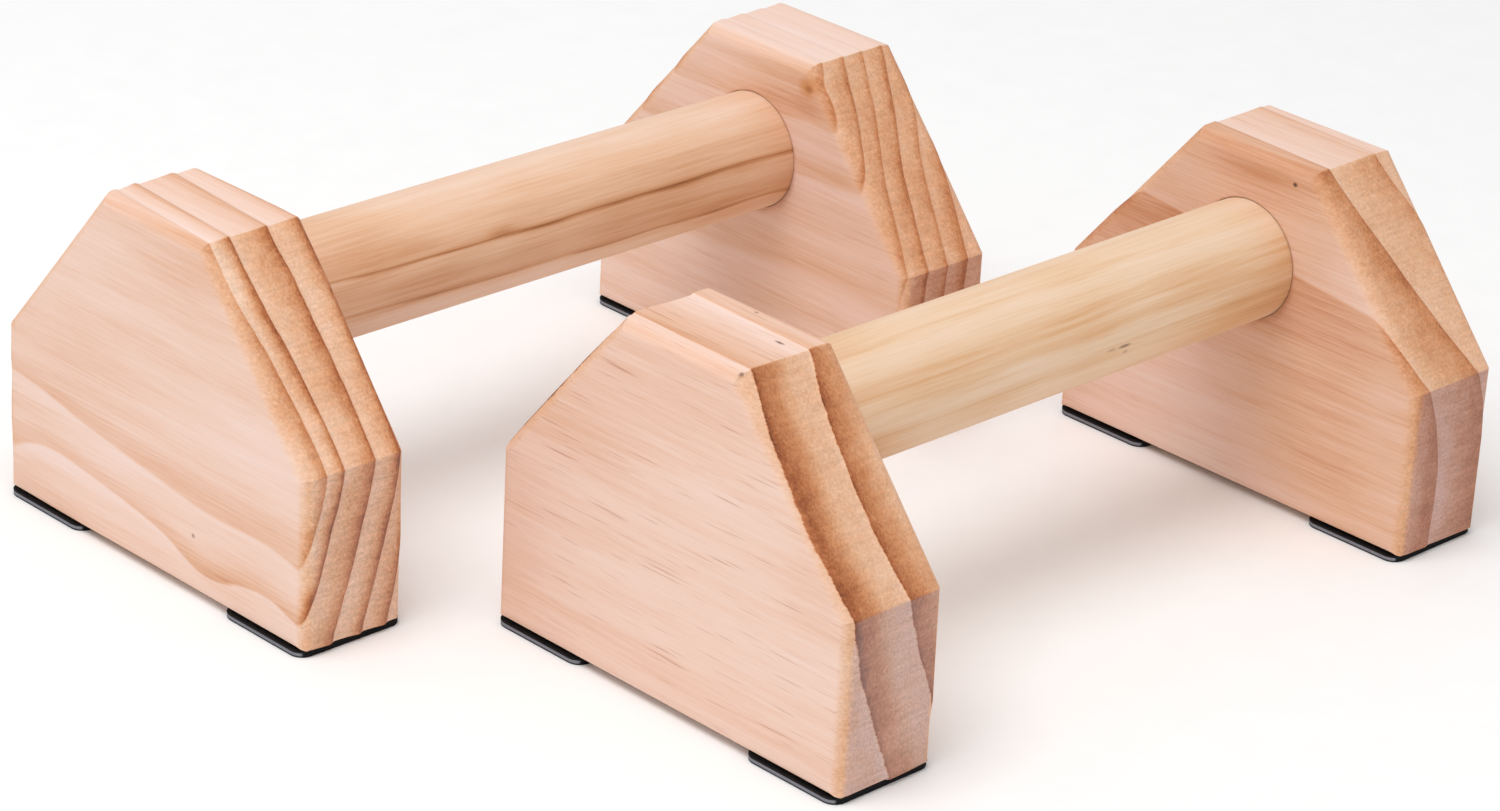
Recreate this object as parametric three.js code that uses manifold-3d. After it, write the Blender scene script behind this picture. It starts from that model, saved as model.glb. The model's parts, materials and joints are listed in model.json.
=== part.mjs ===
// A pair of low wooden parallel bars for push-ups, dips and handstands.
//
// Two identical, free-standing stands lie side by side. Each stand is one round
// wooden bar glued into blind holes in two solid pine end blocks, and each block
// stands on two stick-on rubber pads, one under each end of its foot.
//
// Millimetres. +X runs along the bars, +Y across them and +Z is up. The origin is
// on the floor, midway between the two stands.

import * as THREE from 'three';
import { mergeVertices } from 'three/addons/utils/BufferGeometryUtils.js';
import Module from 'manifold-3d';

// End block: a six-sided outline across the bar, cut from thick board.
const BLOCK_WIDTH = 150;
const BLOCK_HEIGHT = 116.5;
const BLOCK_THICKNESS = 39;
const SIDE_HEIGHT = 57; // height of the upright sides, below the sloping shoulders
const TOP_WIDTH = 50; // width of the flat top between the shoulders
const EDGE_RADIUS = 4.5; // rounded edge around both faces of the block
const FOOT_EDGE_RADIUS = 1.8; // the same edge where it runs along the foot
const EDGE_STEPS = 5;

// Handle bar and the blind holes that hold its ends.
const BAR_RADIUS = 20;
const BAR_SPAN = 212; // clear length of bar between the two blocks
const BAR_AXIS_HEIGHT = 79; // above the underside of the wood
const BAR_CHAMFER = 1.5; // on the hidden ends of the bar
const SOCKET_DEPTH = 24;
const SOCKET_CLEARANCE = 0.3; // room for glue around the bar and behind its end
const ROUND_STEPS = 96;

// Anti-slip foot: a rubber pad on its adhesive film, a little wider than the block is thick.
const PAD_LENGTH = 38; // along the block's width
const PAD_INSET = 1.5; // from the block's upright side
const PAD_OVERHANG = 0.75; // past each face of the block
const RUBBER_THICKNESS = 1.6;
const ADHESIVE_THICKNESS = 0.4;
const PAD_CORNER_RADIUS = 4.5;
const CORNER_STEPS = 4;
const FOOT_HEIGHT = RUBBER_THICKNESS + ADHESIVE_THICKNESS;

// Place of each stand's centre, from the middle of the pair.
const STAND_SHIFT_X = 31;
const STAND_SHIFT_Y = 82;

const X_AXIS = new THREE.Vector3(1, 0, 0);
const Y_AXIS = new THREE.Vector3(0, 1, 0);
const Z_AXIS = new THREE.Vector3(0, 0, 1);

const PINE = { color: 0xe2b68a, roughness: 0.62, metalness: 0 };
const TAN_PINE = { color: 0xd9a671, roughness: 0.55, metalness: 0 };
const PALE_PINE = { color: 0xecd3a6, roughness: 0.55, metalness: 0 };
const RUBBER = { color: 0x1b1b1c, roughness: 0.8, metalness: 0 };
const ADHESIVE = { color: 0x3a3a3b, roughness: 0.5, metalness: 0 };

const STANDS = [
  { name: 'stand_a', x: -STAND_SHIFT_X, y: STAND_SHIFT_Y, bar: TAN_PINE },
  { name: 'stand_b', x: STAND_SHIFT_X, y: -STAND_SHIFT_Y, bar: PALE_PINE },
];
const ENDS = [
  { name: 'left', side: -1 },
  { name: 'right', side: 1 },
];
const FEET = [
  { name: 'front', side: -1 },
  { name: 'back', side: 1 },
];

const wasm = await Module();
wasm.setup();

function toManifold(geometry) {
  const bare = geometry.clone();
  bare.deleteAttribute('normal');
  bare.deleteAttribute('uv');
  const merged = mergeVertices(bare, 1e-4);
  const mesh = new wasm.Mesh({
    numProp: 3,
    vertProperties: new Float32Array(merged.attributes.position.array),
    triVerts: new Uint32Array(merged.index.array),
  });
  return new wasm.Manifold(mesh);
}

function toGeometry(solid) {
  const mesh = solid.getMesh();
  const geometry = new THREE.BufferGeometry();
  geometry.setAttribute('position', new THREE.BufferAttribute(mesh.vertProperties, 3));
  geometry.setIndex(new THREE.BufferAttribute(mesh.triVerts, 1));
  geometry.computeVertexNormals();
  return geometry;
}

// The block's outline in its own plane, seen along the bar: upright sides, sloping
// shoulders and flat top. It reaches below the foot, where the foot cutter takes over.
function blockOutline() {
  const outline = new THREE.Shape();
  outline.moveTo(-BLOCK_WIDTH / 2, -EDGE_RADIUS);
  outline.lineTo(BLOCK_WIDTH / 2, -EDGE_RADIUS);
  outline.lineTo(BLOCK_WIDTH / 2, SIDE_HEIGHT);
  outline.lineTo(TOP_WIDTH / 2, BLOCK_HEIGHT);
  outline.lineTo(-TOP_WIDTH / 2, BLOCK_HEIGHT);
  outline.lineTo(-BLOCK_WIDTH / 2, SIDE_HEIGHT);
  outline.closePath();
  return outline;
}

// A round bar along X, centred on the origin, with a chamfer on both ends.
function roundBar(radius, length, chamfer) {
  const half = length / 2;
  const profile = [
    new THREE.Vector2(0, -half),
    new THREE.Vector2(radius - chamfer, -half),
    new THREE.Vector2(radius, -half + chamfer),
    new THREE.Vector2(radius, half - chamfer),
    new THREE.Vector2(radius - chamfer, half),
    new THREE.Vector2(0, half),
  ];
  const geometry = new THREE.LatheGeometry(profile, ROUND_STEPS);
  const turn = new THREE.Matrix4().makeBasis(Y_AXIS, X_AXIS, Z_AXIS.clone().negate());
  return geometry.applyMatrix4(turn);
}

// Everything below a block's foot, up to the rounded edges on both sides of it.
function footCutter() {
  const face = BLOCK_THICKNESS / 2;
  const r = FOOT_EDGE_RADIUS;
  const profile = new THREE.Shape();
  profile.moveTo(-2 * face, r);
  profile.lineTo(-2 * face, -2 * EDGE_RADIUS);
  profile.lineTo(2 * face, -2 * EDGE_RADIUS);
  profile.lineTo(2 * face, r);
  profile.lineTo(face, r);
  profile.absarc(face - r, r, r, 0, -Math.PI / 2, true);
  profile.absarc(r - face, r, r, -Math.PI / 2, -Math.PI, true);
  profile.closePath();
  const cutter = new THREE.ExtrudeGeometry(profile, {
    depth: 2 * BLOCK_WIDTH,
    bevelEnabled: false,
    curveSegments: EDGE_STEPS,
  });
  cutter.translate(0, 0, -BLOCK_WIDTH);
  const turn = new THREE.Matrix4().makeBasis(X_AXIS, Z_AXIS, Y_AXIS.clone().negate());
  return cutter.applyMatrix4(turn);
}

// An end block standing on the origin; side is the end of the bar that it carries,
// and its blind hole opens on the opposite face, towards the other block.
function blockGeometry(side) {
  const block = new THREE.ExtrudeGeometry(blockOutline(), {
    depth: BLOCK_THICKNESS - 2 * EDGE_RADIUS,
    bevelThickness: EDGE_RADIUS,
    bevelSize: EDGE_RADIUS,
    bevelOffset: -EDGE_RADIUS,
    bevelSegments: EDGE_STEPS,
  });
  block.translate(0, 0, EDGE_RADIUS - BLOCK_THICKNESS / 2);
  block.applyMatrix4(new THREE.Matrix4().makeBasis(Y_AXIS, Z_AXIS, X_AXIS));

  // The cutter is centred on the block's inner face, so half of it cuts the hole.
  const cutter = roundBar(BAR_RADIUS + SOCKET_CLEARANCE, 2 * SOCKET_DEPTH, BAR_CHAMFER);
  cutter.translate(-side * BLOCK_THICKNESS / 2, 0, BAR_AXIS_HEIGHT);

  const footed = toManifold(block).subtract(toManifold(footCutter()));
  return toGeometry(footed.subtract(toManifold(cutter)));
}

// A flat slab with rounded corners, lying on the origin under one end of a foot.
function footGeometry(thickness) {
  const x = BLOCK_THICKNESS / 2 + PAD_OVERHANG;
  const y = PAD_LENGTH / 2;
  const r = PAD_CORNER_RADIUS;
  const outline = new THREE.Shape();
  outline.moveTo(x, y - r);
  outline.absarc(x - r, y - r, r, 0, Math.PI / 2);
  outline.absarc(r - x, y - r, r, Math.PI / 2, Math.PI);
  outline.absarc(r - x, r - y, r, Math.PI, 1.5 * Math.PI);
  outline.absarc(x - r, r - y, r, 1.5 * Math.PI, 2 * Math.PI);
  return new THREE.ExtrudeGeometry(outline, {
    depth: thickness,
    bevelEnabled: false,
    curveSegments: CORNER_STEPS,
  });
}

function part(name, geometry, finish) {
  const mesh = new THREE.Mesh(geometry, new THREE.MeshStandardMaterial(finish));
  mesh.name = name;
  return mesh;
}

// One end of a stand: the block and the pads stuck under both ends of its foot.
function endAssembly(standName, end) {
  const group = new THREE.Group();
  const prefix = `${standName}_${end.name}`;
  const block = part(`${prefix}_end_block`, blockGeometry(end.side), PINE);
  block.position.z = FOOT_HEIGHT;
  group.add(block);
  for (const foot of FEET) {
    const y = foot.side * ((BLOCK_WIDTH - PAD_LENGTH) / 2 - PAD_INSET);
    const rubber = part(`${prefix}_${foot.name}_rubber_pad`, footGeometry(RUBBER_THICKNESS), RUBBER);
    rubber.position.y = y;
    const film = part(`${prefix}_${foot.name}_adhesive`, footGeometry(ADHESIVE_THICKNESS), ADHESIVE);
    film.position.set(0, y, RUBBER_THICKNESS);
    group.add(rubber, film);
  }
  group.position.x = end.side * (BAR_SPAN + BLOCK_THICKNESS) / 2;
  return group;
}

function stand({ name, x, y, bar: barFinish }) {
  const group = new THREE.Group();
  const barLength = BAR_SPAN + 2 * (SOCKET_DEPTH - SOCKET_CLEARANCE);
  const bar = part(`${name}_handle_bar`, roundBar(BAR_RADIUS, barLength, BAR_CHAMFER), barFinish);
  bar.position.z = FOOT_HEIGHT + BAR_AXIS_HEIGHT;
  group.add(bar);
  for (const end of ENDS) group.add(endAssembly(name, end));
  group.position.set(x, y, 0);
  return group;
}

const group = new THREE.Group();
for (const each of STANDS) group.add(stand(each));

export default group;
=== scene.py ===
"""Looks for a pair of low wooden parallel bars.

Every wooden piece is a fine mesh built on the outline of its CAD node. Each vertex has its place among
the growth rings of the board or dowel it was cut from, so the same rings run over faces, shoulders and
rounded edges. They colour the wood and stand slightly proud, as harder latewood does after sanding.
Metres, in the CAD frame: +X along the bars, +Z up.
"""
import json
import math

import bpy
import numpy as np
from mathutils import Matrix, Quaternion, Vector, noise

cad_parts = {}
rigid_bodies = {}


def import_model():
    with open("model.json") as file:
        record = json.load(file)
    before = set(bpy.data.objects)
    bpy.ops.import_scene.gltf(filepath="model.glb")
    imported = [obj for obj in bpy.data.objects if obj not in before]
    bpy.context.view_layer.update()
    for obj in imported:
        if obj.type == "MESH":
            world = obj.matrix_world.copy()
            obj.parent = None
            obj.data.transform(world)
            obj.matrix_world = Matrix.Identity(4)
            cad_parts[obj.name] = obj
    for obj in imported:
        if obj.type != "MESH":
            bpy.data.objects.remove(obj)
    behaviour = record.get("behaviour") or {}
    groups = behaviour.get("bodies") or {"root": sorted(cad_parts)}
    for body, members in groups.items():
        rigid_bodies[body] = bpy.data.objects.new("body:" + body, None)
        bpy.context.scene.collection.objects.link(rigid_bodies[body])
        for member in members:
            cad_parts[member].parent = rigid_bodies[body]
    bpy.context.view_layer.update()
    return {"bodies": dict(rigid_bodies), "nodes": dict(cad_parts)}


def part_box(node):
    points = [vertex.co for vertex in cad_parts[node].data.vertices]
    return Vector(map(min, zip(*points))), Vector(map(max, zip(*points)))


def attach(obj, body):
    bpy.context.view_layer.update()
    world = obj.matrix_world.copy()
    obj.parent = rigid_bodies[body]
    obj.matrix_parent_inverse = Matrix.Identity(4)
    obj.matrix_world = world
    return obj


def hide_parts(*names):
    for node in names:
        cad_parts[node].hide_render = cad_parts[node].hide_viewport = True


MM = 0.001

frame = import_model()
NODES = frame["nodes"]

# ---------------------------------------------------------------- sizes

EDGE_RADIUS = 4.5 * MM        # rounded edge round both faces of a block
FOOT_EDGE_RADIUS = 1.8 * MM   # the same edge where it runs along the foot
CORNER_RADIUS = 1.1 * MM      # eased corners of the block's outline
LEAST_RADIUS = 0.25 * MM      # what is left of a corner that has moved far inwards
SHOULDER_HEIGHT = 57          # mm above the foot
SOCKET_DEPTH = 24 * MM
SOCKET_CLEARANCE = 0.02 * MM
RIM_CHAMFER = 0.06 * MM       # eased rim of the hole that the bar goes into
BLOCK_RELIEF = 1.0 * MM       # how far the softest earlywood lies below the hardest latewood
BAR_CHAMFER = 1.5 * MM
BAR_RELIEF = 0.03 * MM
PAD_CORNER_RADIUS = 4.5 * MM
PAD_EASING = 0.25 * MM
PAD_HOLLOW = 0.1 * MM         # how far the pad's sides draw in at half height
FILM_EASING = 0.06 * MM
SAME_PLACE = 0.01 * MM        # coordinates closer than this are the same

# ---------------------------------------------------------------- mesh density

OUTLINE_STEP = 1.5 * MM
CORNER_STEPS = 5
EDGE_STEPS = 9                # round the block's rounded edge
BAND_STEPS = 84               # across the flat part of the block's edge
FACE_STEPS = 26               # from the block's rounded edge to the middle of its face
FACE_MIDDLE = 2 * MM          # radius of the smallest loop on a face without a hole
SOCKET_MIDDLE = 0.3           # radius of the smallest loop on a hole's floor, as a share of the hole's
BAR_AROUND = 144
BAR_ALONG = 110
SLAB_CORNER_STEPS = 9
SLAB_SIDE_STEPS = 20
SLAB_HEIGHT_STEPS = 10
SLAB_CAP_SPREADS = [0.3, 0.7, 1.0]  # sizes of the loops over a slab's flat top and underside

# ---------------------------------------------------------------- how rings are drawn

# Breadths are shares of the board's thickness, or of the bar's diameter.
LINE_ONSET = 0.008            # how suddenly a latewood line begins
LINE_CORE = 0.028             # breadth of its darkest part
CORE_FADE = 0.88              # darkness at the far side of that part, as a share of the line's
PALE_BEFORE = 0.04            # the earlywood is this much paler just before a line
DARK_AFTER = 0.08             # and this much darker where the line has faded
RELIEF_SOFTENING = 0.018      # darkness is averaged this far each way, for relief without jagged steps
SWEEP_SOFTENING = 5           # mm: a sweep is averaged this far up and down
SOFTENING_SAMPLES = 7
DRIFT_LENGTH = 200 * MM

# Waves in the rings, in cycles per metre along X, Y and Z, and how strong the finer ones are.
BLOCK_BROAD_WAVE, BLOCK_FINE_WAVE, BLOCK_FINE_SHARE = (18, 6, 26), (50, 16, 85), 0.4
BAR_BROAD_WAVE, BAR_FINE_WAVE, BAR_FINE_SHARE = (9, 20, 20), (38, 60, 60), 0.5
BAR_MOTTLE, BAR_MOTTLE_SHARE = (34, 60, 60), 0.3    # where a bar's layers show more or less

# ---------------------------------------------------------------- boards
#
# Every place among the rings is a fraction of the board's thickness, from its -X face.
# lines: latewood lines at shoulder height, as (place, darkness, breadth, darkness halfway). Breadth is
# how far the dark wood fades, on the side that growth points away from. A line with no halfway darkness
# fades evenly. pale: darkness of the earlywood.
# sweep: how far the lines have moved towards +X, as (mm above the foot, at the -X face, at the +X face).
# lean and twist: how far they move per 100 mm along the fibre, and how that changes with height.
# wave and seed: how far the rings waver, and which noise they waver with.
# knots: knots and swells that bend the rings, as (mm from the -X face, mm from the front end, mm above
# the foot, radius in mm, how far the rings move).
# face and top: (how much of the rings' contrast is kept, darkness added) where they are cut flat.
# tones: darker or paler wood on the faces, as (mm from the front end, mm above the foot, reach along,
# reach up, darkness); two on stand B's right block are painted shade and painted light that move the
# bar's shadow. patches: the same on the shoulders and ends, as (place, mm above the foot, reach across,
# reach up, darkness). canals: how plainly resin canals show. end_tint, and the share after it: tint of
# the upright ends, and how far they turn a darker mauve, partly the end grain's own colour and partly
# painted shade on those upright sides.

BOARDS = {
    "stand_a_left_end_block": dict(
        lines=[(0.21, 0.78, 0.20, 0.42), (0.375, 0.98, 0.13, 0.58), (0.675, 0.94, 0.26, 0.50),
               (0.94, 0.94, 0.16, 0.54), (1.165, 0.90, 0.20, 0.50)],
        growth=1, pale=0.22,
        sweep=[(0, -0.56, -0.47), (7, -0.48, -0.41), (15, -0.39, -0.35), (25, -0.27, -0.27),
               (35, -0.19, -0.175), (45, -0.08, -0.09), (57, 0.0, 0.0), (70, 0.0, 0.035),
               (86, -0.04, 0.075), (101, -0.10, 0.10), (117, -0.12, 0.05)],
        lean=-0.0135, twist=0.157, wave=0.012, seed=3.0,
        knots=[(0, 150, 2, 20, -0.22), (0, 50, 4, 17, -0.06), (0, 18, 8, 14, 0.02),
               (0, 150, 44, 38, 0.06), (0, 14, 30, 24, 0.03)],
        face=(0.50, -0.01), top=(0.55, -0.04),
        tones=[(75, 66, 100, 24, 0.10), (110, 62, 34, 14, 0.07), (62, 103, 40, 14, 0.17),
               (140, 9, 14, 7, 0.14), (22, 66, 24, 12, -0.08), (84, 22, 110, 15, -0.13),
               (38, 7, 14, 5, 0.12)],
        patches=[(0.10, 107, 0.11, 9, -0.28), (0.72, 107, 0.10, 9, 0.07), (0.30, 66, 0.08, 10, -0.16),
                 (0.55, 66, 0.18, 10, -0.11), (0.08, 32, 0.10, 12, -0.16), (0.45, 10, 0.35, 12, -0.11)],
        canals=0.10, end_tint=(252, 250, 237), dark_end_grain_and_shade=0.20),
    "stand_b_left_end_block": dict(
        lines=[(-0.66, 0.5, 0.12, 0.4), (0.072, 1.0, 0.34, 0.74), (0.64, 0.95, 0.36, 0.63),
               (1.15, 0.8, 0.2, 0.5)],
        growth=-1, pale=0.30,
        sweep=[(0, 0.42, 0.52), (12, 0.30, 0.39), (25, 0.20, 0.28), (37, 0.09, 0.16), (57, 0.0, 0.0),
               (75, -0.03, -0.055), (90, -0.02, -0.045), (105, 0.01, 0.01), (117, 0.08, 0.125)],
        lean=0.03, twist=0.02, wave=0.009, seed=11.0, knots=[],
        face=(0.30, 0.10), top=(0.50, 0.0),
        tones=[(112, 76, 32, 18, 0.12), (142, 25, 16, 40, 0.10), (70, 104, 34, 12, 0.08),
               (14, 66, 14, 16, 0.10), (90, 46, 60, 8, -0.06)],
        patches=[(0.55, 107, 0.20, 12, 0.07), (0.08, 72, 0.07, 20, 0.08), (0.30, 72, 0.12, 24, 0.05),
                 (0.30, 48, 0.12, 8, -0.09), (0.10, 30, 0.10, 10, 0.16), (0.50, 10, 0.14, 12, -0.14),
                 (0.74, 10, 0.16, 12, -0.08)],
        canals=0.55, end_tint=(240, 240, 246), dark_end_grain_and_shade=0.34),
    "stand_a_right_end_block": dict(
        lines=[(-0.62, 0.74, 0.12), (-0.40, 0.80, 0.13, 0.54), (-0.18, 0.84, 0.12, 0.56),
               (0.035, 0.76, 0.13, 0.54), (0.2625, 0.84, 0.12, 0.56), (0.50, 0.78, 0.14, 0.54),
               (0.745, 0.82, 0.13)],
        growth=1, pale=0.40,
        sweep=[(0, -0.10, -0.10), (30, -0.06, -0.06), (57, 0.0, 0.0), (71, 0.13, 0.13),
               (82, 0.21, 0.215), (97, 0.42, 0.42), (109, 0.54, 0.55), (117, 0.60, 0.62)],
        lean=0.03, twist=0.05, wave=0.030, seed=23.0,
        knots=[(2, 50, 108, 8, 0.10)],
        face=(0.42, 0.06), top=(0.10, 0.06),
        tones=[(62, 106, 26, 9, 0.28), (56, 34, 34, 24, 0.12), (40, 8, 20, 8, 0.14),
               (36, 84, 12, 12, 0.10)],
        patches=[(0.30, 94, 0.40, 26, 0.09)],
        canals=0.18, end_tint=(232, 222, 220), dark_end_grain_and_shade=0.05),
    "stand_b_right_end_block": dict(
        lines=[(-0.55, 0.45, 0.3, 0.4), (0.195, 0.78, 0.30, 0.56), (0.80, 0.84, 0.46, 0.58),
               (1.53, 0.68, 0.35, 0.5)],
        growth=1, pale=0.34,
        sweep=[(0, 0.12, 0.12), (20, 0.185, 0.185), (31, 0.175, 0.175), (42, 0.127, 0.127),
               (57, 0.0, 0.015), (66, -0.09, -0.10), (74, -0.13, -0.214), (80, -0.175, -0.30),
               (87, -0.235, -0.395), (97, -0.33, -0.537), (109, -0.465, -0.755), (117, -0.56, -0.81)],
        lean=0.05, twist=0.10, wave=0.012, seed=37.0, knots=[],
        face=(0.60, 0.115), top=(0.74, -0.10),
        # the tones at 26 and 86 mm from the front, low on the face, are painted shadow and painted light
        # that move the bar's shadow towards the front
        tones=[(46, 46, 44, 22, 0.10), (122, 22, 34, 30, -0.14), (100, 82, 16, 8, 0.10),
               (72, 108, 24, 8, 0.18), (24, 84, 16, 9, -0.12), (80, 4, 70, 12, -0.18),
               (14, 42, 14, 30, -0.08), (26, 14, 26, 18, 0.14), (86, 16, 20, 22, -0.14)],
        patches=[(0.06, 117, 0.12, 4, 0.12), (0.40, 92, 0.45, 24, 0.05), (0.25, 20, 0.09, 22, 0.14),
                 (0.46, 18, 0.09, 18, -0.14), (0.68, 9, 0.10, 10, -0.06), (0.74, 84, 0.14, 16, -0.08)],
        canals=0.30, end_tint=(224, 214, 220), dark_end_grain_and_shade=0.16),
}

# ---------------------------------------------------------------- colours

# The wood from pale earlywood to the darkest latewood line, as (darkness, sRGB).
BLOCK_COLOURS = [(0.0, (240, 213, 201)), (0.20, (236, 201, 183)), (0.42, (226, 180, 151)),
                 (0.66, (204, 143, 104)), (0.86, (168, 100, 62)), (1.0, (112, 62, 38))]
TAN_BAR_COLOURS = [(0.0, (238, 208, 188)), (0.25, (230, 188, 156)), (0.5, (212, 158, 118)),
                   (0.75, (180, 120, 76)), (1.0, (104, 62, 38))]
PALE_BAR_COLOURS = [(0.0, (238, 214, 194)), (0.25, (233, 200, 168)), (0.5, (221, 174, 130)),
                    (0.75, (196, 136, 88)), (1.0, (140, 88, 54))]

# Tint where the fibre ends in the surface, as (how squarely it is cut, tint): nothing along the fibre,
# and warmer on a shoulder that cuts it at a slant, partly the wood's own colour and partly painted warm
# light.
SLANT_TINTS = [(0.0, (255, 255, 255)), (0.45, (254, 250, 240)), (0.77, (252, 242, 224))]
BAR_END_TINT = (226, 208, 200)

CANAL_COLOUR = (176, 112, 84)
DARK_END_GRAIN_AND_SHADE_COLOUR = (196, 160, 152)   # upright ends turn towards this darker mauve, partly end grain colour and partly painted shade
EDGE_TINT = (252, 232, 208)       # warmer wood on rounded edges, where the sanding went deeper
EDGE_TINT_SHARE = 0.3

# Noise drawn out along the fibre: cycles per metre across it and along it.
FINE_STREAKS = dict(across=1250.0, along=34.0, detail=4.0, roughness=0.7)
SOFT_STREAKS = dict(across=210.0, along=9.0, detail=3.0, roughness=0.6)
BROAD_PATCHES = dict(across=46.0, along=7.0, detail=2.0, roughness=0.5)
CANAL_DASHES = dict(across=1300.0, along=42.0, detail=1.0, roughness=0.5)

# ---------------------------------------------------------------- bars and marks

# stops: the layers of the bar, as (place, darkness) from one side of it to the other. turn: degrees
# from upright at which they lie. drift: how far they wander over 200 mm, in bar diameters. wave and
# seed: as on a board. tones: (mm from the middle, degrees from the top towards -Y, reach along, reach
# round, darkness).
BARS = {
    "stand_a_handle_bar": dict(
        colours=TAN_BAR_COLOURS,
        stops=[(-0.2, 0.20), (0.04, 0.22), (0.100, 0.34), (0.113, 0.72), (0.128, 0.52), (0.16, 0.50),
               (0.24, 0.52), (0.30, 0.42), (0.370, 0.42), (0.386, 0.70), (0.396, 0.86), (0.407, 0.58),
               (0.43, 0.42), (0.50, 0.34), (0.62, 0.29), (0.74, 0.24), (0.93, 0.16), (1.2, 0.14)],
        turn=31.0, drift=-0.08, wave=0.036, seed=5.0,
        tones=[(-21, 66, 6, 5, 0.24), (84, 75, 10, 5, 0.16), (-56, 56, 9, 6, 0.12),
               (85, 128, 40, 12, 0.08), (85, 92, 55, 17, -0.13), (-90, 92, 20, 12, -0.08),
               (-50, 130, 50, 14, -0.10), (-90, 0, 24, 40, 0.14), (-96, 66, 30, 6, -0.34),
               (-72, 62, 16, 7, 0.10), (-62, 108, 34, 5, 0.16)]),
    "stand_b_handle_bar": dict(
        colours=PALE_BAR_COLOURS,
        stops=[(-0.2, 0.3), (0.05, 0.32), (0.13, 0.36), (0.18, 0.38), (0.23, 0.24), (0.30, 0.30),
               (0.345, 0.44), (0.39, 0.38), (0.42, 0.30), (0.47, 0.40), (0.50, 0.28), (0.54, 0.36),
               (0.60, 0.24), (0.73, 0.16), (0.835, 0.28), (0.92, 0.24), (1.2, 0.2)],
        turn=33.0, drift=0.03, wave=0.036, seed=17.0,
        # the tones at -96 and -92 mm are painted shade on its left end, beside the block
        tones=[(98, 112, 34, 30, 0.24), (-96, 0, 24, 30, 0.16), (-92, 124, 24, 26, 0.34),
               (-60, 62, 50, 8, 0.06)]),
}

# Nicks and pin knots, as (place in mm from the piece's lowest corner, radii in mm, strength, colour).
MARKS = {
    "stand_a_left_end_block": [((0, 54, 19), (1.0, 1.0, 1.0), 0.6, (120, 80, 60))],
    "stand_a_right_end_block": [((0.5, 50.5, 108.5), (5.0, 5.2, 4.4), 0.75, (206, 136, 76)),
                                ((1.0, 50, 108), (3.5, 2.4, 1.8), 0.6, (156, 92, 46))],
    "stand_b_left_end_block": [((25, 59, 116.5), (0.9, 2.6, 2.0), 0.85, (92, 60, 46)),
                               ((2, 51, 115.5), (1.2, 1.2, 1.2), 0.7, (104, 62, 44)),
                               ((34, 78, 116.5), (0.8, 1.2, 2.0), 0.5, (120, 76, 58))],
    "stand_b_right_end_block": [((0, 57.5, 110), (1.5, 1.2, 1.0), 0.9, (84, 46, 34))],
    "stand_b_handle_bar": [((157, 0.2, 17.4), (3.6, 1.6, 0.7), 0.75, (112, 84, 74)),
                           ((151, 0.2, 17.6), (2.6, 1.6, 0.6), 0.4, (128, 100, 88)),
                           ((158, 0.4, 15.0), (1.4, 1.6, 0.8), 0.4, (128, 100, 88))],
}

# Rubber pads: painted highlight, a grey band standing for the light caught by the pad's upper edge, as
# (share of the height, greyness), on what lies further out along X than this share of the pad's half
# length.
PAD_PAINTED_HIGHLIGHT = [(0.0, 0.0), (0.25, 0.0), (0.45, 0.9), (0.9, 1.0), (1.0, 0.5)]
PAD_HIGHLIGHT_FROM = 0.9

# ---------------------------------------------------------------- meshes

def mesh_points(mesh):
    """A mesh's vertices as an array."""
    points = np.empty(len(mesh.vertices) * 3)
    mesh.vertices.foreach_get("co", points)
    return points.reshape(-1, 3)


def mesh_normals(mesh):
    """The normals of a mesh's vertices as an array."""
    normals = np.empty(len(mesh.vertices) * 3)
    mesh.vertex_normals.foreach_get("vector", normals)
    return normals.reshape(-1, 3)


def set_attribute(mesh, key, column):
    """Gives the mesh a point attribute with one number for each vertex."""
    mesh.attributes.new(key, "FLOAT", "POINT").data.foreach_set("value", column.astype(np.float32))


def node_points(name):
    """A CAD node's vertices as an array."""
    return mesh_points(NODES[name].data)


def skin(name, loops, values):
    """A closed mesh through loops of equally many points, capped at both ends. values maps the
    name of a point attribute to one number or array for each loop."""
    count = len(loops[0])
    ends = [loops[0].mean(0), loops[-1].mean(0)]
    points = np.concatenate([*loops, np.array(ends)])
    k = np.arange(count)
    after = (k + 1) % count
    faces = []
    for i in range(len(loops) - 1):
        a, b = i * count, (i + 1) * count
        faces.append(np.stack([a + k, a + after, b + after, b + k], 1))
    first, last = len(points) - 2, len(points) - 1
    top = (len(loops) - 1) * count
    caps = np.concatenate([
        np.stack([np.full(count, first), after, k], 1),
        np.stack([np.full(count, last), top + k, top + after], 1),
    ])
    mesh = bpy.data.meshes.new(name)
    mesh.from_pydata(points.tolist(), [], np.concatenate(faces).tolist() + caps.tolist())
    for key, value in values.items():
        filled = [np.broadcast_to(v, count) for v in value]
        column = np.concatenate([*filled, [filled[0].mean()], [filled[-1].mean()]])
        set_attribute(mesh, key, column)
    mesh.polygons.foreach_set("use_smooth", np.ones(len(mesh.polygons), bool))
    mesh.update()
    return mesh


def sink(mesh, depth):
    """Moves every vertex inwards along its normal by its depth."""
    moved = mesh_points(mesh) - mesh_normals(mesh) * depth[:, None]
    mesh.vertices.foreach_set("co", moved.ravel())
    mesh.update()


def add_piece(name, mesh, body, node, material):
    """Makes an object of the mesh that moves with its body and stands for its CAD node."""
    mesh.materials.append(material)
    piece = bpy.data.objects.new(name, mesh)
    bpy.context.scene.collection.objects.link(piece)
    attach(piece, body)
    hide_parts(node)


# ---------------------------------------------------------------- end blocks

def outline_corners(name):
    """The block's outline as (y, z) corners, anticlockwise seen from +X, read off its CAD node."""
    points = node_points(name)
    low, high = points.min(0), points.max(0)
    shoulder = points[points[:, 1] > high[1] - SAME_PLACE][:, 2].max()
    top = points[points[:, 2] > high[2] - SAME_PLACE][:, 1]
    return np.array([
        (low[1], low[2]), (high[1], low[2]), (high[1], shoulder),
        (top.max(), high[2]), (top.min(), high[2]), (low[1], shoulder),
    ])


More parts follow.
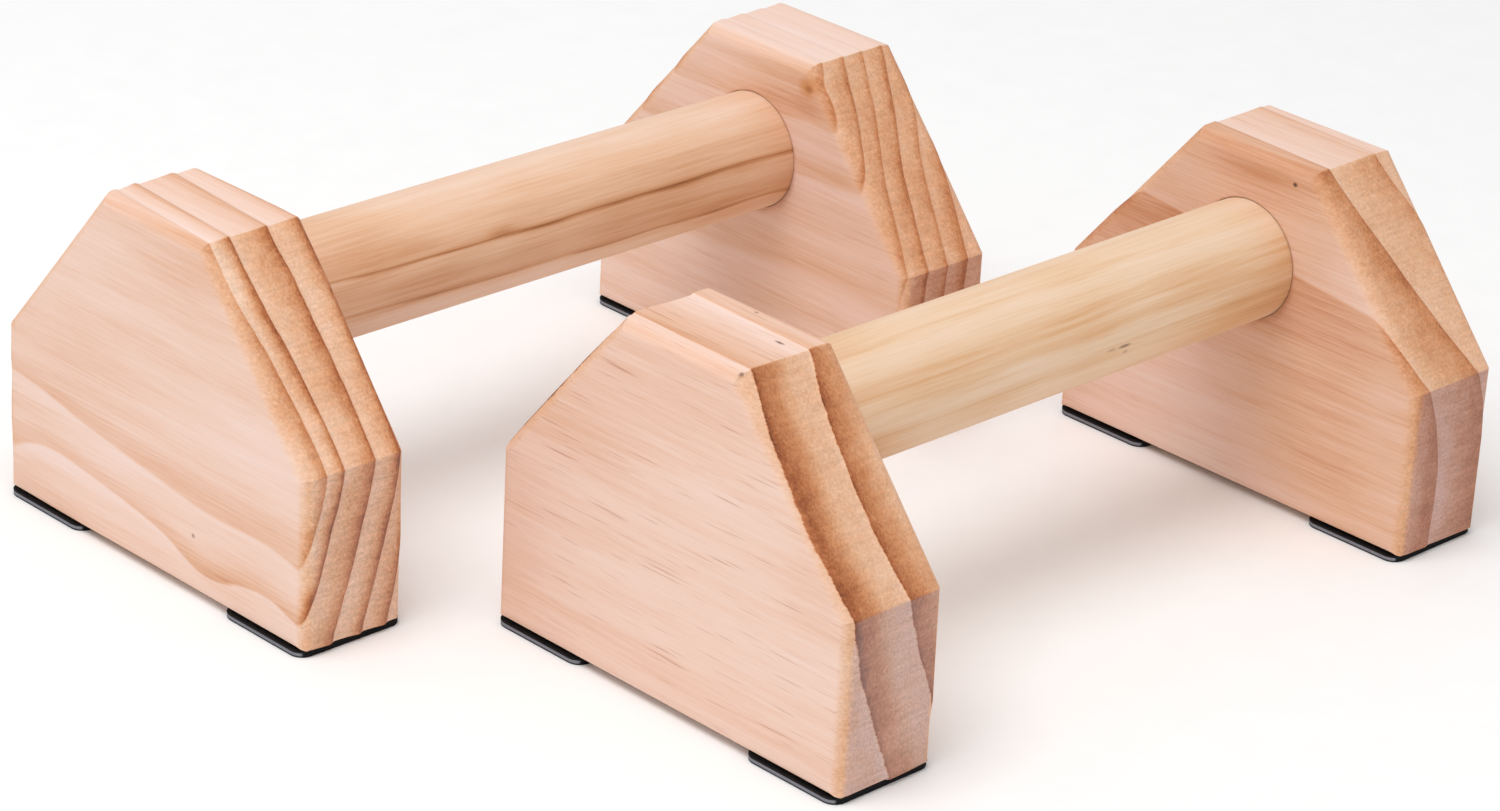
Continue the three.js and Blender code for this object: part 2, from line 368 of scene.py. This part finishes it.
def contour(corners, inset, foot_inset):
    """The outline moved inwards by inset, or along its foot by foot_inset, with eased corners. Every
    contour has the same number of points. The foot is the first side."""
    radius = max(CORNER_RADIUS - inset, LEAST_RADIUS)
    count = len(corners)
    along = [corners[(i + 1) % count] - corners[i] for i in range(count)]
    lengths = [np.linalg.norm(a) for a in along]
    along = [a / length for a, length in zip(along, lengths)]
    inward = [np.array((-a[1], a[0])) for a in along]
    insets = [foot_inset] + [inset] * (count - 1)
    arcs = []
    for i in range(count):
        before, after = inward[i - 1], inward[i]
        reach = np.array((insets[i - 1], insets[i])) + radius
        middle = corners[i] + np.linalg.solve(np.array((before, after)), reach)
        start = math.atan2(-before[1], -before[0])
        turn = math.acos(np.clip(before @ after, -1, 1))
        angles = start + np.linspace(0, turn, CORNER_STEPS)
        arcs.append(middle + radius * np.stack([np.cos(angles), np.sin(angles)], 1))
    points = []
    for i in range(count):
        steps = round(lengths[i] / OUTLINE_STEP)
        t = np.linspace(0, 1, steps + 1)[1:-1, None]
        points += [arcs[i], arcs[i][-1] * (1 - t) + arcs[(i + 1) % count][0] * t]
    return np.concatenate(points)


def rounded(depth, radius):
    """How far a rounded edge has drawn in at a depth behind its face."""
    rest = max(radius - depth, 0.0)
    return radius - math.sqrt(radius ** 2 - rest ** 2)


def at_x(x, outline):
    """An outline's (y, z) points as a loop of (x, y, z) points."""
    return np.column_stack([np.full(len(outline), x), outline])


def block_mesh(name, bar_centre, bar_radius, open_side):
    """An end block's mesh. The hole for the bar is in its +X face if open_side is 1, or in its -X face
    if open_side is -1. bar_centre is the place of the bar's axis in (y, z)."""
    corners = outline_corners(name)
    points = node_points(name)
    x_low, x_high = points[:, 0].min(), points[:, 0].max()
    inner = contour(corners, EDGE_RADIUS, FOOT_EDGE_RADIUS)
    spokes = inner - bar_centre
    spokes /= np.linalg.norm(spokes, axis=1)[:, None]
    hole = bar_radius + SOCKET_CLEARANCE

    def face(x, radius):
        """Loops from near the face's middle, or the hole's rim, out to the rounded edge."""
        ring = bar_centre + spokes * radius
        steps = np.linspace(0, 1, FACE_STEPS)[:-1]
        return [at_x(x, ring * (1 - t) + inner * t) for t in steps]

    def socket(x, direction):
        """Loops down the hole, from its floor to its eased rim."""
        rows = [(SOCKET_DEPTH, hole * SOCKET_MIDDLE), (SOCKET_DEPTH, hole), (SOCKET_DEPTH / 2, hole),
                (RIM_CHAMFER * 2, hole), (RIM_CHAMFER, hole)]
        return [at_x(x + direction * depth, bar_centre + spokes * radius) for depth, radius in rows]

    def closed(x):
        return face(x, FACE_MIDDLE)

    def pierced(x, direction):
        rim = at_x(x, bar_centre + spokes * (hole + RIM_CHAMFER))
        return socket(x, direction) + [rim] + face(x, hole + 3 * RIM_CHAMFER)

    low_side = closed(x_low) if open_side > 0 else pierced(x_low, 1)
    high_side = closed(x_high) if open_side < 0 else pierced(x_high, -1)

    depths = [EDGE_RADIUS * (1 - math.cos(a)) for a in np.linspace(0, math.pi / 2, EDGE_STEPS + 1)]
    flat = np.linspace(x_low + EDGE_RADIUS, x_high - EDGE_RADIUS, BAND_STEPS)[1:-1]
    band = [x_low + d for d in depths] + list(flat) + [x_high - d for d in reversed(depths)]
    band_loops = []
    roundness = []
    for x in band:
        depth = min(x - x_low, x_high - x)
        inset = rounded(depth, EDGE_RADIUS)
        band_loops.append(at_x(x, contour(corners, inset, rounded(depth, FOOT_EDGE_RADIUS))))
        roundness.append(math.sin(math.pi * inset / EDGE_RADIUS))

    loops = low_side + band_loops + high_side[::-1]
    edges = [0.0] * len(low_side) + roundness + [0.0] * len(high_side)
    return skin(name, loops, {"edge": edges})


def waviness(points, seed, broad, fine, fine_share):
    """Broad smooth noise at each point, with a share of finer noise on it."""
    return np.array([
        noise.noise(Vector((x * broad[0] + seed, y * broad[1], z * broad[2])))
        + fine_share * noise.noise(Vector((x * fine[0], y * fine[1] + seed, z * fine[2])))
        for x, y, z in points.tolist()
    ])


def smooth_sweep(height, across, sweep):
    """How far a board's rings have moved at each height and share of its thickness, rounded off
    between the given heights."""
    heights, at_low, at_high = zip(*sweep)
    nearby = np.linspace(-SWEEP_SOFTENING, SWEEP_SOFTENING, SOFTENING_SAMPLES)
    low, high = (
        np.mean([np.interp(height + step, heights, shifts) for step in nearby], 0)
        for shifts in (at_low, at_high)
    )
    return low + (high - low) * np.clip(across, 0, 1)


def block_rings(points, board, low, high):
    """Place of each point among the rings of its board."""
    x = (points[:, 0] - low.x) / (high.x - low.x)
    front = (points[:, 1] - low.y) / MM
    height = (points[:, 2] - low.z) / MM
    along = (front - (high.y - low.y) / MM / 2) / 100
    wave = waviness(points, board["seed"], BLOCK_BROAD_WAVE, BLOCK_FINE_WAVE, BLOCK_FINE_SHARE)
    slant = board["lean"] + board["twist"] * (height - SHOULDER_HEIGHT) / SHOULDER_HEIGHT
    sweep = smooth_sweep(height, x, board["sweep"])
    place = x - sweep - slant * along + board["wave"] * wave
    for knot_x, knot_front, knot_height, radius, push in board["knots"]:
        apart = ((points[:, 0] - low.x) / MM - knot_x) ** 2
        apart += (front - knot_front) ** 2 + (height - knot_height) ** 2
        place += push * np.exp(-apart / radius ** 2)
    return place


def block_finish(points, normals, board, low, high):
    """For each point, how much of the rings' contrast shows, and how much darkness is added."""
    on_face = normals[:, 0] ** 4
    on_top = normals[:, 2] ** 4
    face_contrast, face_darker = board["face"]
    top_contrast, top_darker = board["top"]
    contrast = 1 - (1 - face_contrast) * on_face - (1 - top_contrast) * on_top
    darker = face_darker * on_face + top_darker * on_top
    front = (points[:, 1] - low.y) / MM
    height = (points[:, 2] - low.z) / MM
    for tone_front, tone_height, reach_along, reach_up, amount in board["tones"]:
        apart = ((front - tone_front) / reach_along) ** 2 + ((height - tone_height) / reach_up) ** 2
        darker += amount * np.exp(-apart) * on_face
    across = (points[:, 0] - low.x) / (high.x - low.x)
    for place, patch_height, reach_across, reach_up, amount in board["patches"]:
        apart = ((across - place) / reach_across) ** 2 + ((height - patch_height) / reach_up) ** 2
        darker += amount * np.exp(-apart) * (1 - on_face)
    return contrast, darker


def ring_stops(board):
    """A board's rings as (place, darkness) in order: pale on one side of each line, and on the other
    darkness that fades over the line's breadth."""
    side = -board["growth"]
    pale = board["pale"]
    stops = []
    for line, dark, breadth, *halfway in board["lines"]:
        stops.append((line - side * LINE_ONSET, pale - PALE_BEFORE))
        stops.append((line, dark))
        stops.append((line + side * breadth, pale + DARK_AFTER))
        if halfway:
            stops.append((line + side * LINE_CORE, CORE_FADE * dark))
            stops.append((line + side * breadth / 2, halfway[0]))
    return sorted(stops)


def darkness(places, stops):
    """Darkness of the wood at each place among its rings."""
    at, values = zip(*stops)
    return np.interp(places, at, values)


def soft_darkness(places, stops):
    """Darkness averaged over a little of the wood."""
    nearby = np.linspace(-RELIEF_SOFTENING, RELIEF_SOFTENING, SOFTENING_SAMPLES)
    return np.mean([darkness(places + step, stops) for step in nearby], 0)


# ---------------------------------------------------------------- bars

def bar_mesh(name):
    """The bar's mesh, and its centre and radius."""
    points = node_points(name)
    low, high = points.min(0), points.max(0)
    centre = (low + high) / 2
    radius = (high[2] - low[2]) / 2
    angles = np.linspace(0, 2 * math.pi, BAR_AROUND, endpoint=False)
    ring = np.stack([np.zeros(BAR_AROUND), np.cos(angles), np.sin(angles)], 1)
    stations = [(low[0], radius - BAR_CHAMFER), (low[0] + BAR_CHAMFER, radius)]
    stations += [(x, radius) for x in np.linspace(low[0], high[0], BAR_ALONG)[1:-1]]
    stations += [(high[0] - BAR_CHAMFER, radius), (high[0], radius - BAR_CHAMFER)]
    loops = [(0, centre[1], centre[2]) + ring * r + (x, 0, 0) for x, r in stations]
    return skin(name, loops, {"edge": [0.0] * len(loops)}), centre, radius


def bar_finish(points, bar, centre):
    """For each point of a bar, how much of the layers' contrast shows, and the darkness added."""
    x = (points[:, 0] - centre[0]) / MM
    angle = np.degrees(np.arctan2(centre[1] - points[:, 1], points[:, 2] - centre[2]))
    darker = np.zeros(len(points))
    for tone_x, tone_angle, reach_along, reach_round, amount in bar["tones"]:
        away = np.abs((angle - tone_angle + 180) % 360 - 180)
        darker += amount * np.exp(-((x - tone_x) / reach_along) ** 2 - (away / reach_round) ** 2)
    mottle = np.array([
        noise.noise(Vector((x * BAR_MOTTLE[0], y * BAR_MOTTLE[1] + bar["seed"], z * BAR_MOTTLE[2])))
        for x, y, z in points.tolist()
    ])
    return 1 + BAR_MOTTLE_SHARE * mottle, darker


def bar_rings(points, bar, centre, radius):
    """Place of each point among the layers of its bar."""
    turn = math.radians(bar["turn"])
    across = (points[:, 1] - centre[1]) * math.sin(turn) + (points[:, 2] - centre[2]) * math.cos(turn)
    along = (points[:, 0] - centre[0]) / DRIFT_LENGTH
    wave = waviness(points, bar["seed"], BAR_BROAD_WAVE, BAR_FINE_WAVE, BAR_FINE_SHARE)
    return 0.5 + across / (2 * radius) - bar["drift"] * along + bar["wave"] * wave


# ---------------------------------------------------------------- materials

def linear(rgb):
    """sRGB from 0 to 255 as linear RGBA."""
    channels = [c / 255 for c in rgb]
    return [c / 12.92 if c <= 0.04045 else ((c + 0.055) / 1.055) ** 2.4 for c in channels] + [1.0]


class Nodes:
    """Short forms for building a material's node tree."""

    def __init__(self, name):
        self.material = bpy.data.materials.new(name)
        self.material.use_nodes = True
        self.tree = self.material.node_tree
        self.shader = self.tree.nodes["Principled BSDF"]
        self.place = self.add("ShaderNodeTexCoord").outputs["Object"]

    def add(self, kind, **settings):
        node = self.tree.nodes.new(kind)
        for key, value in settings.items():
            setattr(node, key, value)
        return node

    def put(self, socket, value):
        if isinstance(value, bpy.types.NodeSocket):
            self.tree.links.new(value, socket)
        else:
            socket.default_value = value

    def math(self, operation, a, b, clamp=False):
        node = self.add("ShaderNodeMath", operation=operation, use_clamp=clamp)
        self.put(node.inputs[0], a)
        self.put(node.inputs[1], b)
        return node.outputs[0]

    def scaled(self, scale, offset):
        node = self.add("ShaderNodeMapping")
        node.inputs["Scale"].default_value = scale
        node.inputs["Location"].default_value = offset
        self.put(node.inputs["Vector"], self.place)
        return node.outputs[0]

    def noise(self, scale, offset=(0, 0, 0), detail=2.0, roughness=0.5):
        node = self.add("ShaderNodeTexNoise")
        node.inputs["Scale"].default_value = 1.0
        node.inputs["Detail"].default_value = detail
        node.inputs["Roughness"].default_value = roughness
        self.put(node.inputs["Vector"], self.scaled(scale, offset))
        return node.outputs["Fac"]

    def ramp(self, value, stops):
        node = self.add("ShaderNodeValToRGB")
        elements = node.color_ramp.elements
        while len(elements) < len(stops):
            elements.new(0.5)
        for element, (position, colour) in zip(elements, stops):
            element.position = position
            element.color = colour
        self.put(node.inputs["Fac"], value)
        return node.outputs["Color"]

    def span(self, value, low, high, to_low=0.0, to_high=1.0):
        node = self.add("ShaderNodeMapRange")
        for socket, number in zip(node.inputs[:5], (value, low, high, to_low, to_high)):
            self.put(socket, number)
        return node.outputs[0]

    def mix(self, factor, a, b, blend="MIX"):
        node = self.add("ShaderNodeMix", data_type="RGBA", blend_type=blend)
        self.put(node.inputs["Factor"], factor)
        self.put(node.inputs["A"], a)
        self.put(node.inputs["B"], b)
        return node.outputs["Result"]

    def tinted(self, colour, tint):
        return self.mix(1.0, colour, tint, "MULTIPLY")

    def grey(self, value):
        node = self.add("ShaderNodeCombineColor")
        for socket in node.inputs:
            self.put(socket, value)
        return node.outputs[0]

    def attribute(self, name):
        return self.add("ShaderNodeAttribute", attribute_name=name).outputs["Fac"]

    def bump(self, height, distance, strength):
        node = self.add("ShaderNodeBump")
        node.inputs["Strength"].default_value = strength
        node.inputs["Distance"].default_value = distance
        self.put(node.inputs["Height"], height)
        self.put(self.shader.inputs["Normal"], node.outputs[0])


def streaks(n, fibre, offset, across, along, detail, roughness):
    """Noise drawn out along the fibre."""
    scale = [across] * 3
    scale[fibre] = along
    return n.noise(scale, offset, detail, roughness)


def ring_depth(n, stops, fine, soft, broad):
    """Darkness of the wood from 0 to 1: its rings, with streaks and patches over them."""
    low, high = stops[0][0], stops[-1][0]
    place = n.attribute("ring")
    place = n.math("ADD", place, n.span(fine, 0.3, 0.7, -0.004, 0.004))
    place = n.math("ADD", place, n.span(soft, 0.3, 0.7, -0.006, 0.006))
    place = n.span(place, low, high)
    depth = n.ramp(place, [((p - low) / (high - low), (d, d, d, 1.0)) for p, d in stops])

    # rings cut nearly flat spread out over the surface and lose contrast
    depth = n.math("MULTIPLY", depth, n.attribute("contrast"))
    depth = n.math("ADD", depth, n.attribute("darker"))
    depth = n.math("ADD", depth, n.span(fine, 0.25, 0.75, -0.12, 0.12))
    depth = n.math("ADD", depth, n.span(soft, 0.25, 0.75, -0.08, 0.08))
    return n.math("ADD", depth, n.span(broad, 0.3, 0.7, -0.07, 0.07), clamp=True)


def with_canals(n, colour, fibre, seed, canals, end):
    """Adds resin canals, short dark dashes along the fibre, except where the fibre ends in the surface."""
    dashes = streaks(n, fibre, (seed * 3, 0, 0), **CANAL_DASHES)
    along_fibre = n.math("MULTIPLY", n.math("SUBTRACT", 1.0, end), canals)
    shown = n.math("MULTIPLY", n.span(dashes, 0.64, 0.80), along_fibre)
    return n.mix(shown, colour, linear(CANAL_COLOUR))


def with_marks(n, colour, marks):
    """Adds nicks and pin knots, given as (centre, radii, strength, colour)."""
    for centre, radii, strength, tone in marks:
        scale = [1 / r for r in radii]
        offset = [-c / r for c, r in zip(centre, radii)]
        apart = n.add("ShaderNodeVectorMath", operation="LENGTH")
        n.put(apart.inputs[0], n.scaled(scale, offset))
        shown = n.span(apart.outputs["Value"], 0.4, 1.0, strength, 0.0)
        colour = n.mix(shown, colour, linear(tone))
    return colour


def wood(name, stops, colours, fibre, seed, marks, canals=0.0, end_tint=BAR_END_TINT, dark_end_grain_and_shade=0.0):
    """Sanded wood with stops as its rings. fibre is the axis the grain runs along, 0 for X or 1 for Y.
    end_tint tints the wood where the fibre ends in the surface, and the last argument is how far it turns a
    darker mauve there; both are partly the end grain's own colour and partly painted shade."""
    n = Nodes(name)
    fine = streaks(n, fibre, (seed, 0, seed), **FINE_STREAKS)
    soft = streaks(n, fibre, (0, seed, seed), **SOFT_STREAKS)
    broad = streaks(n, fibre, (seed, seed, 0), **BROAD_PATCHES)
    end = n.attribute("end_grain")
    depth = ring_depth(n, stops, fine, soft, broad)
    colour = n.ramp(depth, [(p, linear(c)) for p, c in colours])
    if canals:
        colour = with_canals(n, colour, fibre, seed, canals, end)

    # end grain: a different tint (partly painted warm light on shoulders, painted shade on upright ends),
    # dark pores and faint saw marks across the board
    tints = SLANT_TINTS + [(1.0, end_tint)]
    colour = n.tinted(colour, n.ramp(end, [(p, linear(c)) for p, c in tints]))
    colour = n.mix(n.span(end, 0.85, 1.0, 0.0, dark_end_grain_and_shade), colour, linear(DARK_END_GRAIN_AND_SHADE_COLOUR))
    pores = n.noise((1100.0, 1100.0, 1100.0), (0, 0, seed), roughness=0.7)
    saw = n.noise((50.0, 800.0, 800.0), (seed, 0, 0))
    cut = n.math("ADD", n.span(pores, 0.3, 0.7, -0.17, 0.12), n.span(saw, 0.3, 0.7, -0.08, 0.08))
    colour = n.tinted(colour, n.grey(n.math("ADD", 1.0, n.math("MULTIPLY", cut, end))))

    warm = n.math("MULTIPLY", n.attribute("edge"), EDGE_TINT_SHARE)
    colour = n.mix(warm, colour, n.tinted(colour, linear(EDGE_TINT)))
    n.put(n.shader.inputs["Base Color"], with_marks(n, colour, marks))

    rough = n.span(depth, 0.0, 1.0, 0.60, 0.46)
    n.put(n.shader.inputs["Roughness"], n.math("ADD", rough, n.math("MULTIPLY", end, 0.14)))
    n.shader.inputs["Specular IOR Level"].default_value = 0.3
    rough_end = n.math("MULTIPLY", n.math("ADD", pores, saw), end)
    n.bump(n.math("ADD", fine, n.math("MULTIPLY", rough_end, 0.7)), 0.00012, 0.35)
    return n.material


def rubber(name):
    """Black foam rubber, with a painted highlight: a grey band on the upper part of its long edges that
    face along X.
    """
    n = Nodes(name)
    grain = n.noise((2600.0, 2600.0, 2600.0), detail=4.0, roughness=0.65)
    tone = n.mix(n.span(grain, 0.35, 0.65), linear((14, 14, 16)), linear((30, 30, 33)))
    # painted highlight: grey where the pad's upper edge would catch the light
    painted_highlight = n.math("MULTIPLY", n.attribute("painted_highlight"), n.span(grain, 0.3, 0.7, 0.6, 1.0))
    n.put(n.shader.inputs["Base Color"], n.mix(painted_highlight, tone, linear((150, 150, 158))))
    n.put(n.shader.inputs["Roughness"], n.span(grain, 0.3, 0.7, 0.75, 0.92))
    n.shader.inputs["Specular IOR Level"].default_value = 0.12
    n.bump(grain, 0.0001, 0.6)
    return n.material


def film(name):
    """Black adhesive film, slightly glossier than the rubber."""
    n = Nodes(name)
    grain = n.noise((900.0, 900.0, 900.0))
    tone = n.mix(n.span(grain, 0.35, 0.65), linear((12, 11, 12)), linear((26, 24, 26)))
    n.put(n.shader.inputs["Base Color"], tone)
    n.put(n.shader.inputs["Roughness"], n.span(grain, 0.3, 0.7, 0.5, 0.68))
    n.shader.inputs["Specular IOR Level"].default_value = 0.2
    n.bump(grain, 0.00005, 0.4)
    return n.material


def floor_finish(name):
    """Matt white studio sweep with a barely visible tooth."""
    n = Nodes(name)
    grain = n.noise((60.0, 60.0, 60.0))
    n.put(n.shader.inputs["Base Color"], n.mix(grain, linear((249, 249, 249)), linear((254, 254, 254))))
    n.shader.inputs["Roughness"].default_value = 0.9
    n.shader.inputs["Specular IOR Level"].default_value = 0.1
    return n.material


# ---------------------------------------------------------------- feet

def slab_outline(middle, half, inset):
    """A rectangle with rounded corners, moved inwards by inset, as (x, y) points."""
    radius = max(PAD_CORNER_RADIUS - inset, LEAST_RADIUS)
    corners = []
    for quarter, (sx, sy) in enumerate([(1, 1), (-1, 1), (-1, -1), (1, -1)]):
        x = middle.x + sx * (half.x - inset - radius)
        y = middle.y + sy * (half.y - inset - radius)
        angles = np.linspace(0, math.pi / 2, SLAB_CORNER_STEPS) + quarter * math.pi / 2
        corners.append(np.array((x, y)) + radius * np.stack([np.cos(angles), np.sin(angles)], 1))
    t = np.linspace(0, 1, SLAB_SIDE_STEPS + 1)[1:-1, None]
    points = []
    for i, corner in enumerate(corners):
        following = corners[(i + 1) % 4]
        points += [corner, corner[-1] * (1 - t) + following[0] * t]
    return np.concatenate(points)


def slab_mesh(name, easing, hollow):
    """A flat slab in its CAD node's box, with eased edges and slightly hollow sides. A grey painted
    highlight is marked on the upper part of the two sides that face along the bar."""
    low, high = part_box(name)
    middle, half = (low + high) / 2, (high - low) / 2
    height = high.z - low.z
    rows = [(0.0, easing, spread) for spread in SLAB_CAP_SPREADS]
    for t in np.linspace(0, 1, SLAB_HEIGHT_STEPS + 1):
        eased = max(0.0, easing - min(t, 1 - t) * height)
        rows.append((t, eased + hollow * math.sin(math.pi * t), 1.0))
    rows += [(1.0, easing, spread) for spread in reversed(SLAB_CAP_SPREADS)]
    centre = np.array((middle.x, middle.y))
    loops = []
    highlight_shares = []
    for t, inset, spread in rows:
        ring = centre + (slab_outline(middle, half, inset) - centre) * spread
        loops.append(np.column_stack([ring, np.full(len(ring), low.z + t * height)]))
        # where the grey painted highlight goes: the sides facing along X, on their upper part
        on_side = np.abs(ring[:, 0] - middle.x) > half.x * PAD_HIGHLIGHT_FROM
        shown = np.interp(t, *zip(*PAD_PAINTED_HIGHLIGHT)) if spread == 1.0 else 0.0
        highlight_shares.append(on_side * shown)
    return skin(name, loops, {"painted_highlight": highlight_shares})


# ---------------------------------------------------------------- the pair

RUBBER = rubber("foot_rubber")
FILM = film("foot_film")


def marks_on(name):
    """A piece's nicks and pin knots in metres, as (centre, radii, strength, colour)."""
    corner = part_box(name)[0]
    return [
        (corner + Vector(place) * MM, Vector(radii) * MM, strength, colour)
        for place, radii, strength, colour in MARKS.get(name, [])
    ]


def make_bar(stand):
    """Makes a stand's bar, and returns its centre and radius."""
    name = f"{stand}_handle_bar"
    bar = BARS[name]
    mesh, centre, radius = bar_mesh(name)
    places = bar_rings(mesh_points(mesh), bar, centre, radius)
    contrast, darker = bar_finish(mesh_points(mesh), bar, centre)
    set_attribute(mesh, "ring", places)
    set_attribute(mesh, "end_grain", np.abs(mesh_normals(mesh)[:, 0]) ** 4)
    set_attribute(mesh, "contrast", contrast)
    set_attribute(mesh, "darker", darker)
    sink(mesh, BAR_RELIEF * (1 - soft_darkness(places, bar["stops"])))
    finish = wood(name, bar["stops"], bar["colours"], 0, bar["seed"], marks_on(name))
    add_piece(f"{stand}_bar_wood", mesh, stand, name, finish)
    return centre, radius


def make_block(stand, end, open_side, bar_centre, bar_radius):
    """Makes an end block, open on the side that faces its bar."""
    name = f"{stand}_{end}_end_block"
    board = BOARDS[name]
    stops = ring_stops(board)
    low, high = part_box(name)
    mesh = block_mesh(name, bar_centre[1:], bar_radius, open_side)
    normals = mesh_normals(mesh)
    places = block_rings(mesh_points(mesh), board, low, high)
    contrast, darker = block_finish(mesh_points(mesh), normals, board, low, high)
    set_attribute(mesh, "ring", places)
    set_attribute(mesh, "end_grain", np.abs(normals[:, 1]))
    set_attribute(mesh, "contrast", contrast)
    set_attribute(mesh, "darker", darker)
    on_edge = 1 - np.abs(normals[:, 0]) ** 6
    sink(mesh, BLOCK_RELIEF * (1 - soft_darkness(places, stops)) * on_edge)
    finish = wood(name, stops, BLOCK_COLOURS, 1, board["seed"], marks_on(name),
                  board["canals"], board["end_tint"], board["dark_end_grain_and_shade"])
    add_piece(f"{stand}_{end}_block_wood", mesh, stand, name, finish)


def make_foot(stand, end, foot):
    """Makes a rubber pad and the adhesive film that holds it to the block."""
    pad = f"{stand}_{end}_{foot}_rubber_pad"
    add_piece(f"{pad}_body", slab_mesh(pad, PAD_EASING, PAD_HOLLOW), stand, pad, RUBBER)
    sheet = f"{stand}_{end}_{foot}_adhesive"
    add_piece(f"{sheet}_film", slab_mesh(sheet, FILM_EASING, 0), stand, sheet, FILM)


for stand in frame["bodies"]:
    bar_centre, bar_radius = make_bar(stand)
    for end, open_side in (("left", 1), ("right", -1)):
        make_block(stand, end, open_side, bar_centre, bar_radius)
        for foot in ("front", "back"):
            make_foot(stand, end, foot)

# ---------------------------------------------------------------- floor, light, camera

FLOOR_SIZE = 30
WORLD_STRENGTH = 0.72
LAMP_PLACE = Vector((-0.7, -0.1, 1.6))
LAMP_AIM = Vector((0, 0, 0.05))
LAMP_SIZE = 1.1
LAMP_WATTS = 13

VIEW_TURN = 44.95             # degrees from +X towards +Y that the camera faces
VIEW_DIP = 24.50              # degrees below level
VIEW_ROLL = 3.12              # degrees anticlockwise, seen from behind the camera
VIEW_DISTANCE = 1.55
VIEW_LENS = 116.0             # mm
VIEW_TARGET = Vector((0.0098, 0.0112, 0.0306))

bpy.ops.mesh.primitive_plane_add(size=FLOOR_SIZE, location=(0, 0, 0))
floor = bpy.context.object
floor.name = "studio_floor"
floor.data.materials.append(floor_finish("studio_white"))

world = bpy.data.worlds.new("studio")
world.use_nodes = True
world.node_tree.nodes["Background"].inputs["Color"].default_value = (1, 1, 1, 1)
world.node_tree.nodes["Background"].inputs["Strength"].default_value = WORLD_STRENGTH
bpy.context.scene.world = world

lamp_data = bpy.data.lights.new("key", "AREA")
lamp_data.shape = "DISK"
lamp_data.size = LAMP_SIZE
lamp_data.energy = LAMP_WATTS
lamp = bpy.data.objects.new("key", lamp_data)
lamp.location = LAMP_PLACE
lamp.rotation_mode = "QUATERNION"
lamp.rotation_quaternion = (LAMP_AIM - LAMP_PLACE).to_track_quat("-Z", "Y")
bpy.context.scene.collection.objects.link(lamp)

camera_data = bpy.data.cameras.new("camera")
camera_data.lens = VIEW_LENS
camera = bpy.data.objects.new("camera", camera_data)
bpy.context.scene.collection.objects.link(camera)
turn, dip = math.radians(VIEW_TURN), math.radians(VIEW_DIP)
forward = Vector((math.cos(dip) * math.cos(turn), math.cos(dip) * math.sin(turn), -math.sin(dip)))
camera.rotation_mode = "QUATERNION"
roll = Quaternion((0, 0, 1), math.radians(VIEW_ROLL))
camera.rotation_quaternion = forward.to_track_quat("-Z", "Y") @ roll
camera.location = VIEW_TARGET - forward * VIEW_DISTANCE
bpy.context.scene.camera = camera
bpy.context.scene.view_settings.view_transform = "Standard"
